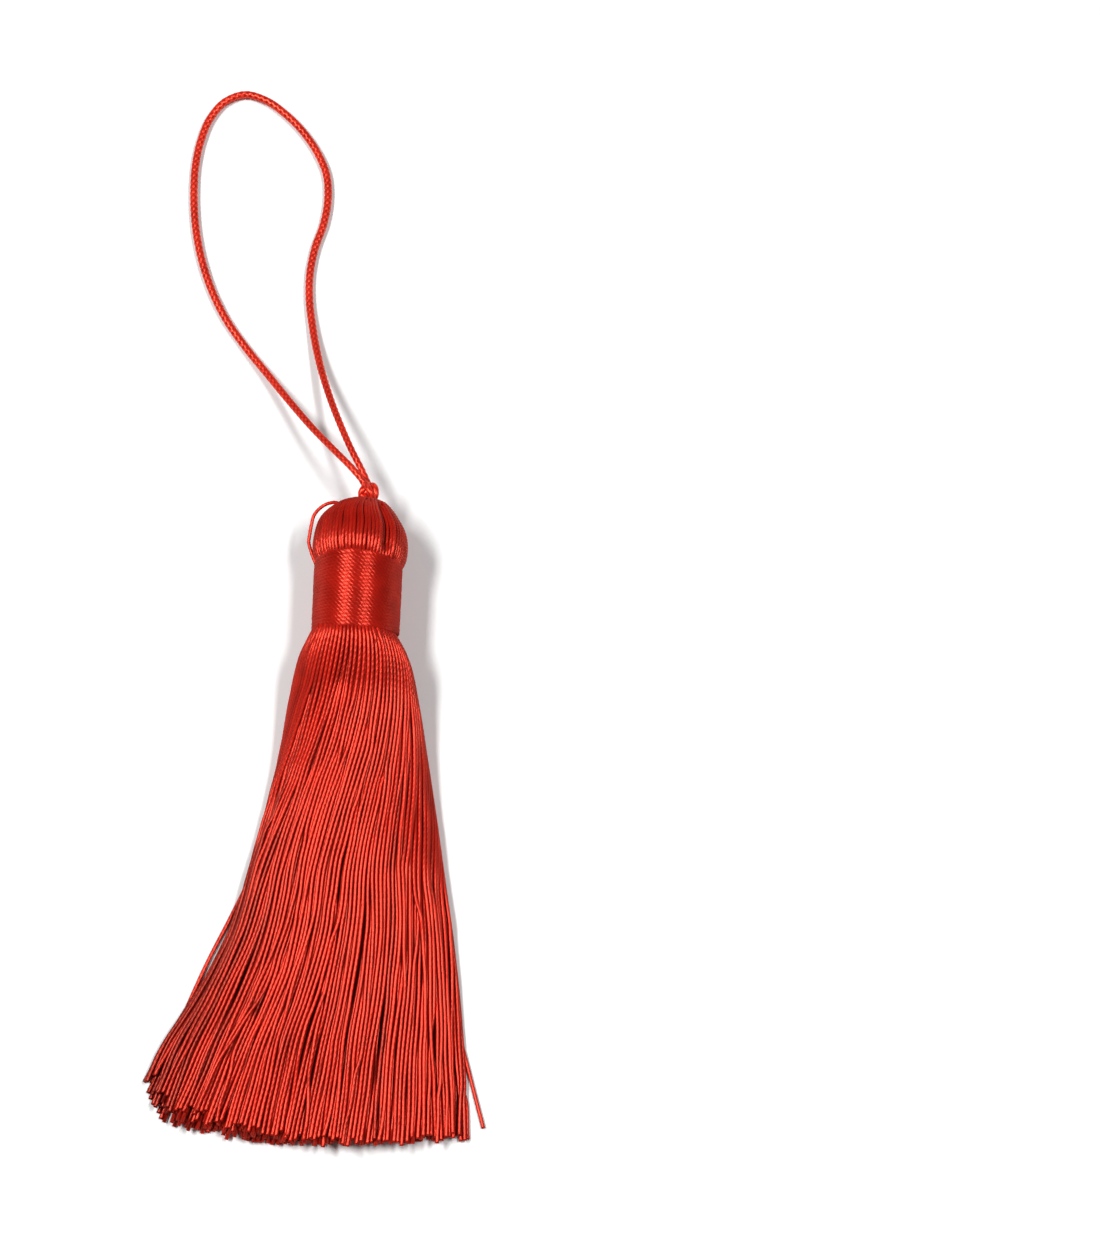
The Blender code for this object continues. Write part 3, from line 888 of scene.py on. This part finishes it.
# %% Cut the yarns to length
#   x, down
CUT_LINE = (
    (-22.0, 68.8),
    (-20.9, 70.2),
    (-19.2, 72.1),
    (-16.5, 73.3),
    (-12.0, 74.2),
    (-6.0, 74.7),
    (0.0, 74.7),
    (8.0, 74.1),
    (14.0, 73.6),
    (19.0, 73.0),
)
CUT_AT = 72.0
END_UNEVENNESS = 0.55
TOP_YARNS_SHORTER = (3.0, -0.6)


def cut_lengths():
    """Each yarn's length from the cut line at its own x, less what its height and its place take off."""
    station = int(np.argmin(np.abs(STATIONS - CUT_AT)))
    (down,) = smooth_rows(CUT_LINE, laid[:, station, 0])
    rng = np.random.default_rng(12)
    ragged = rng.uniform(-END_UNEVENNESS, END_UNEVENNESS, len(across))
    shorter = np.interp(across, (-1, 0.2), TOP_YARNS_SHORTER)
    return down + ragged - shorter * ease(up, -0.4, 1)


def yarn_paths(chosen, rings):
    """The paths of the chosen yarns, with this many rings from the binding to their cut ends."""
    downs = np.linspace(STATIONS[0], cuts[chosen], rings, axis=1)
    row = np.clip(np.searchsorted(STATIONS, downs, side="right") - 1, 0, len(STATIONS) - 2)
    slope = np.gradient(laid, STATIONS, axis=1)
    width = (STATIONS[row + 1] - STATIONS[row])[..., None]
    t = (downs - STATIONS[row])[..., None] / width
    who = chosen[:, None]
    start = (2 * t**3 - 3 * t**2 + 1) * laid[who, row] + (t**3 - 2 * t**2 + t) * width * slope[who, row]
    end = (3 * t**2 - 2 * t**3) * laid[who, row + 1] + (t**3 - t**2) * width * slope[who, row + 1]
    paths = start + end
    paths[..., 1] = -downs
    paths[..., 2] = np.maximum(paths[..., 2], YARN_RADIUS)
    return paths


cuts = cut_lengths()

# %% [markdown]
# ## Which yarns show
#
# Only the yarns that reach the surface need modelled plies. A yarn counts as showing at a station when no
# other yarn lies over it, seen from above or from either side.

# %% Sort the yarns by what shows


def shows(x, z):
    """For each yarn, whether less than two others cover it from above, or from its own side."""
    dx = x[None, :] - x[:, None]
    dz = z[None, :] - z[:, None]
    above = ((dz > 0.12) & (np.abs(dx) < 0.72 * YARN_RADIUS * 2)).sum(axis=1)
    right = ((dx > 0.1) & (np.abs(dz) < 0.3)).sum(axis=1)
    left = ((dx < -0.1) & (np.abs(dz) < 0.3)).sum(axis=1)
    return (above < 1) | (right < 1) | (left < 1)


seen = np.mean([shows(laid[:, i, 0], laid[:, i, 2]) for i in range(3, len(STATIONS))], axis=0)
order = np.argsort(-seen)
print("yarns that show at more than a tenth of the stations:", int((seen > 0.1).sum()))

# %% [markdown]
# ## The skirt's yarns
#
# The yarns that show are twisted threads with 300 rings each, in three pieces so that none grows too heavy.
# Those inside are plain five-sided tubes, because one sees only a dark glimpse of them. Every yarn has its
# own tone, and the left side of the skirt has painted shade: its tone is darker there, where it is turned
# from the light.

# %% Make the skirt
MODELLED_YARNS = 150
YARN_RINGS = 300
PLAIN_RINGS = 34
rng = np.random.default_rng(30)
tones = rng.normal(0.24, 0.1, len(across))
phases = rng.uniform(0, 2 * math.pi, len(across))
flare = 1 + 0.1 * ease(np.arange(YARN_RINGS), YARN_RINGS - 5, YARN_RINGS - 1)
skirt_pieces = []
def tones_with_painted_shade(chosen, rings):
    """The yarns' tones along their length, with painted shade on the left of the skirt, turned from the light."""
    downs = np.linspace(STATIONS[0], cuts[chosen], rings, axis=1)
    # painted shade: the tone drops towards the deep red on the skirt's left side, from 25 to 50 mm down
    return tones[chosen, None] - 0.45 * ease(-across[chosen, None], 0.45, 0.95) * ease(downs, 25, 50)


groups = np.array_split(np.sort(order[:MODELLED_YARNS]), 3)
for number, chosen in enumerate(groups):
    chosen = np.asarray(chosen)
    piece = make_threads(
        f"skirt_yarns_{number + 1}",
        yarn_paths(chosen, YARN_RINGS),
        YARN_RADIUS * flare,
        yarn,
        tone=tones_with_painted_shade(chosen, YARN_RINGS),
        phase=phases[chosen, None],
    )
    skirt_pieces.append(piece)
chosen = np.sort(order[MODELLED_YARNS:])
skirt_pieces.append(
    make_threads(
        "skirt_inner_yarns",
        yarn_paths(chosen, PLAIN_RINGS),
        YARN_RADIUS,
        plain_yarn,
        tone=tones_with_painted_shade(chosen, PLAIN_RINGS),
        plies=0,
    )
)

# %% [markdown]
# ## Stray yarns
#
# Two yarns have left the skirt and lie beside it on the table, one at each side.

# %% The stray yarns
STRAY_YARNS = (
    (
        (7.6, -30.0, 0.8),
        (10.2, -38.0, 0.5),
        (12.4, -45.0, 0.24),
        (14.5, -52.0, 0.24),
        (15.6, -59.6, 0.24),
        (17.6, -66.5, 0.24),
        (19.4, -72.2, 0.24),
    ),
    (
        (-6.6, -28.0, 0.8),
        (-9.5, -39.0, 0.4),
        (-12.7, -47.4, 0.24),
        (-15.3, -53.7, 0.24),
        (-17.8, -60.7, 0.24),
        (-19.2, -64.6, 0.24),
        (-20.8, -68.6, 0.24),
    ),
)
stray_yarns = []
for number, route in enumerate(STRAY_YARNS):
    path = evenly_along(route, 0.2)[None]
    stray = make_threads(f"stray_yarn_{number + 1}", path, YARN_RADIUS, yarn, tone=np.array([0.2]))
    stray_yarns.append(stray)

# %% [markdown]
# ## Table and light
#
# The table is a plain white sheet. Two long soft lights hang over it, 25 degrees to either side, and that
# is what makes the silk gleam: a thread shines where it runs square to the half-way direction between a
# light and the eye. So the threads of the head, which run down it, shine in one band across, and the turns
# of the binding, which run across, shine in two streaks down it.

# %% Floor and lights
floor_mesh = bpy.data.meshes.new("floor")
FLOOR = 3.0
floor_mesh.from_pydata(
    [(-FLOOR, -FLOOR, 0), (FLOOR, -FLOOR, 0), (FLOOR, FLOOR, 0), (-FLOOR, FLOOR, 0)], [], [(0, 1, 2, 3)]
)
floor = bpy.data.objects.new("floor", floor_mesh)
bpy.context.scene.collection.objects.link(floor)
paper = bpy.data.materials.new("white_paper")
paper.use_nodes = True
paper.node_tree.nodes["Principled BSDF"].inputs["Base Color"].default_value = (0.8, 0.82, 0.82, 1)
paper.node_tree.nodes["Principled BSDF"].inputs["Roughness"].default_value = 0.8
floor_mesh.materials.append(paper)

room = bpy.data.worlds.new("white_room")
room.use_nodes = True
room.node_tree.nodes["Background"].inputs["Color"].default_value = (1.0, 1.0, 1.0, 1)
room.node_tree.nodes["Background"].inputs["Strength"].default_value = 0.14
bpy.context.scene.world = room


def long_light(name, sideways, distance, width, length, power):
    """A long soft light over the tassel, this many degrees to the right of the vertical, along the Y axis."""
    light = bpy.data.lights.new(name, "AREA")
    light.shape = "RECTANGLE"
    light.size = width
    light.size_y = length
    light.energy = power
    lamp = bpy.data.objects.new(name, light)
    angle = math.radians(sideways)
    lamp.location = (distance * math.sin(angle), 0, distance * math.cos(angle))
    lamp.rotation_euler = (0, angle, 0)
    bpy.context.scene.collection.objects.link(lamp)


long_light("left_light", -26, 0.8, 0.12, 0.36, 5.2)
long_light("right_light", 25, 0.8, 0.09, 0.3, 3.5)
bpy.context.scene.view_settings.view_transform = "Standard"
bpy.context.scene.view_settings.gamma = 0.85

# %% [markdown]
# ## What each piece belongs to
#
# The CAD model has four nodes, and every piece here stands for one of them. All of them ride on the one
# body, and the node that each replaces is hidden.

# %% Tell the frame what is what
for piece in (head, core, standing_thread, *skirt_pieces, *stray_yarns):
    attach(piece, BUNDLE_BODY)
    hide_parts("bundle")
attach(binding, BUNDLE_BODY)
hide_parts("binding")
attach(knot, BUNDLE_BODY)
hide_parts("knot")
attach(hanging_loop, BUNDLE_BODY)
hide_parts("hanging_loop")
